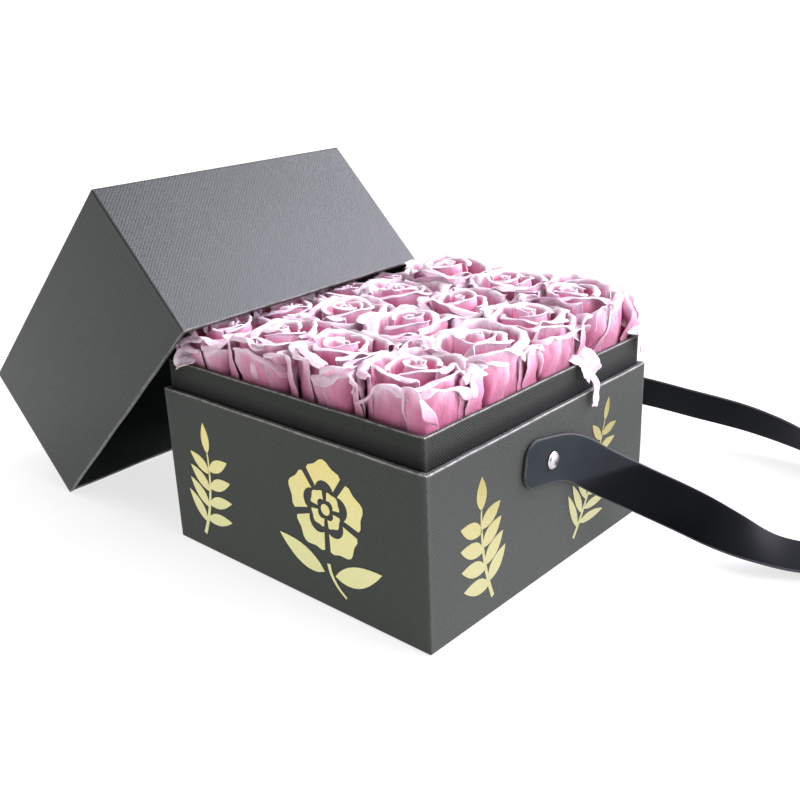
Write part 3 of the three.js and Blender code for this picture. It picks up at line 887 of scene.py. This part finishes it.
loose_petal("loose_petal_right", [(88, 30, 121), (93.5, 33, 119), (98.4, 36, 115.6), (99.6, 37.5, 109.5), (99.4, 39, 102.5)], [7, 12, 14, 13, 4], (1, -0.2, 0.25), 31, 1.0, off_right)
loose_petal("loose_petal_hanging", [(98.8, 41, 106), (101.6, 41.6, 100.5), (102.3, 41, 94.5), (101.8, 40, 88)], [2.5, 5.5, 7.5, 3], (1, 0, 0), 32, 0.9, off_right, 14, 26)
loose_petal("loose_petal_left", [(-76, -88, 120), (-79, -93, 118.6), (-83, -97.8, 116.2), (-87, -98.6, 111.5)], [9, 12, 11, 4], (-0.2, -1, 0.3), 33, 0.9, off_front)
loose_petal("loose_petal_corner", [(88, 92, 122), (94, 93.5, 119.5), (99.3, 94.5, 115), (99.9, 95.5, 108.5), (99.4, 96, 104)], [6, 9, 9.5, 8, 3], (1, 0, 0.2), 34, 0.8, off_right)

# --------------------------------------------------------- CAD nodes that stay
for n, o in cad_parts.items():
    if n.startswith("stem_"):
        m = M_STEM
    elif n == "floral_foam":
        m = M_FOAM
    elif n.startswith("rivet_washer"):
        m = M_CHROME
    else:
        continue
    for s in o.material_slots:
        s.material = m

# --------------------------------------------------------------- gold motifs
def leaf(cx, cy, ang, length, width, bend=0.0, n=9):
    """Outline of a pointed leaf from its base (cx, cy), in the face's plane."""
    pts = []
    up, dn = [], []
    for i in range(n + 1):
        t = i / n
        w = width * math.sin(math.pi * t ** 0.85) ** 0.9 / 2
        x = length * t
        y = bend * length * t * t
        up.append((x, y + w)); dn.append((x, y - w))
    ring = up + dn[::-1][1:-1]
    c, s = math.cos(ang), math.sin(ang)
    return [(cx + c * x - s * y, cy + s * x + c * y) for x, y in ring]


def ribbon(pts, w0, w1):
    P = np.array(pts, float)
    T = np.gradient(P, axis=0)
    T /= np.linalg.norm(T, axis=1)[:, None]
    Nn = np.stack([-T[:, 1], T[:, 0]], 1)
    w = np.linspace(w0, w1, len(P))[:, None] / 2
    a, b = P + Nn * w, P - Nn * w
    return [tuple(p) for p in a] + [tuple(p) for p in b[::-1]]


def curve2(p0, p1, p2, n=16):
    return [tuple((1 - t) ** 2 * np.array(p0) + 2 * t * (1 - t) * np.array(p1) + t * t * np.array(p2)) for t in np.linspace(0, 1, n)]


def sprig(p0, p1, p2, pairs, length, width, spread, w=2.2, tipleaf=True, start=0.16, taper=0.35, bend=0.12):
    out = [ribbon(curve2(p0, p1, p2), w, w * 0.45)]
    A, B, C = map(np.array, (p0, p1, p2))
    for k in range(pairs):
        t = start + (0.97 - start) * k / pairs
        p = (1 - t) ** 2 * A + 2 * t * (1 - t) * B + t * t * C
        d = 2 * (1 - t) * (B - A) + 2 * t * (C - B)
        a = math.atan2(d[1], d[0])
        l = length * (1 - taper * t)
        out.append(leaf(p[0], p[1], a + spread, l, width, -bend))
        t2 = min(1, t + 0.04)
        p = (1 - t2) ** 2 * A + 2 * t2 * (1 - t2) * B + t2 * t2 * C
        out.append(leaf(p[0], p[1], a - spread, l, width, bend))
    if tipleaf:
        d = C - B
        out.append(leaf(C[0], C[1], math.atan2(d[1], d[0]), length * (1 - taper) * 1.05, width * 0.9, 0))
    return out


def blossom(cx, cy, r):
    out = []
    # outer petals: five broad leaves with a gap between them, then two turns of crescents
    for k in range(5):
        a = math.radians(90 + 72 * k)
        out.append(petal_shape(cx, cy, a, r * 0.50, r * 1.0, 0.54))
    for k in range(4):
        a = math.radians(45 + 90 * k)
        out.append(petal_shape(cx, cy, a, r * 0.20, r * 0.43, 0.62))
    n = 14
    out.append([(cx + r * 0.12 * math.cos(2 * math.pi * i / n), cy + r * 0.12 * math.sin(2 * math.pi * i / n)) for i in range(n)])
    return out


def petal_shape(cx, cy, a, r0, r1, half):
    pts = []
    n = 12
    for i in range(n + 1):
        u = -1 + 2 * i / n
        rr = r1 * (1 - 0.16 * abs(u) ** 3 + 0.05 * math.cos(2 * math.pi * u))
        pts.append((cx + rr * math.cos(a + half * u), cy + rr * math.sin(a + half * u)))
    for i in range(n + 1):
        u = 1 - 2 * i / n
        rr = r0 * (1 + 0.22 * (1 - u * u))
        pts.append((cx + rr * math.cos(a + half * 0.92 * u), cy + rr * math.sin(a + half * 0.92 * u)))
    return pts


def foil(name, polys, place, mat, thick=0.12):
    V, F = [], []
    for k, ring in enumerate(polys):
        area = sum(ring[i][0] * ring[(i + 1) % len(ring)][1] - ring[(i + 1) % len(ring)][0] * ring[i][1] for i in range(len(ring)))
        if area < 0:
            ring = ring[::-1]
        b = len(V)
        n = len(ring)
        for (s, t) in ring:
            V.append(place(s, t, -0.25))
        for (s, t) in ring:
            V.append(place(s, t, thick + 0.012 * (k % 7)))
        F.append(tuple(b + n + i for i in range(n)))
        F.append(tuple(b + i for i in reversed(range(n))))
        for i in range(n):
            j = (i + 1) % n
            F.append((b + i, b + j, b + n + j, b + n + i))
    o = mesh_from(name, np.array(V) * MM, F, mat, False)
    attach(o, "base")
    return o


def on_front(s, t, h):   # s from the left edge of the -Y face
    return (s - 100, -100 - h + 0.05, t)


def on_right(s, t, h):   # s from the front edge of the +X face
    return (100 + h - 0.05, s - 100, t)


# leafy sprig, blossom between two leaves, round-leaved branch, fern
foil("foil_sprig", sprig((25, 10), (37, 36), (35, 64), 4, 24, 7.6, 0.92, 2.6, taper=0.25, bend=-0.10), on_front, M_GOLD)
m2 = blossom(131, 58.5, 27)
m2 += [ribbon(curve2((131, 27), (132, 17), (143, 10.5)), 2.4, 1.4),
       leaf(127.5, 21, math.radians(166), 36, 12.0, -0.12), leaf(135.5, 21, math.radians(14), 36, 12.0, 0.12)]
foil("foil_blossom", m2, on_front, M_GOLD)
# the +X face's motifs use the darker gold copy, painted shade against the stronger light there
foil("foil_branch", sprig((50, 10), (40, 36), (41, 63), 4, 22, 9.0, 0.95, 2.6, taper=0.2, bend=-0.10), on_right, M_GOLD_PAINTED_SHADE)
foil("foil_fern", sprig((126, 11), (146, 38), (156, 74), 7, 27, 5.6, 0.95, 2.4, start=0.10, taper=0.5, bend=-0.05), on_right, M_GOLD_PAINTED_SHADE)

# -------------------------------------------------------------------- stage
def stage():
    n = Nodes("floor_paper")
    co = n.coord("Object")
    sp = n.noise(co, 30, 2)
    n.set(Base_Color=n.mix(n.mapr(sp, 0.3, 0.7, 0, 1), (0.34, 0.34, 0.34), (0.36, 0.36, 0.36)), Roughness=n.mapr(sp, 0, 1, 0.85, 0.95))
    n.bsdf.inputs["Emission Color"].default_value = (1, 1, 1, 1)
    n.bsdf.inputs["Emission Strength"].default_value = 0.72
    V = [(-9, -9, 0), (9, -9, 0), (9, 9, 0), (-9, 9, 0)]
    o = mesh_from("floor", V, [(0, 1, 2, 3)], n.mat, False)
    o.location.z = -0.0003
    w = bpy.data.worlds.new("studio")
    bpy.context.scene.world = w
    w.use_nodes = True
    nt = w.node_tree
    bg = nt.nodes["Background"]
    lp = nt.nodes.new("ShaderNodeLightPath")
    mr = nt.nodes.new("ShaderNodeMapRange")
    nt.links.new(lp.outputs["Is Camera Ray"], mr.inputs[0])
    mr.inputs[3].default_value = 0.34
    mr.inputs[4].default_value = 1.08
    nt.links.new(mr.outputs[0], bg.inputs[1])
    bg.inputs[0].default_value = (0.975, 1.0, 0.955, 1)

    def sun(name, direction, power, angle, col=(1, 1, 1)):
        l = bpy.data.lights.new(name, "SUN")
        l.energy = power
        l.angle = math.radians(angle)
        l.color = col
        ob = bpy.data.objects.new(name, l)
        bpy.context.scene.collection.objects.link(ob)
        ob.rotation_euler = (-Vector(direction)).to_track_quat("-Z", "Y").to_euler()
        ob.location = Vector(direction)
        return ob

    sun("back_top", (0.36, 0.72, 0.60), 5.0, 40, (0.89, 0.85, 1.0))
    sun("right", (0.95, 0.25, 0.40), 3.2, 50, (0.985, 0.86, 1.0))
    sun("top", (0.0, 0.0, 1.0), 1.0, 60)
    sun("left_top", (-0.62, 0.05, 0.78), 0.5, 50, (0.97, 0.98, 1.0))


stage()
sc = bpy.context.scene
sc.view_settings.view_transform = "Standard"
sc.view_settings.look = "None"
sc.view_settings.exposure = 0.0
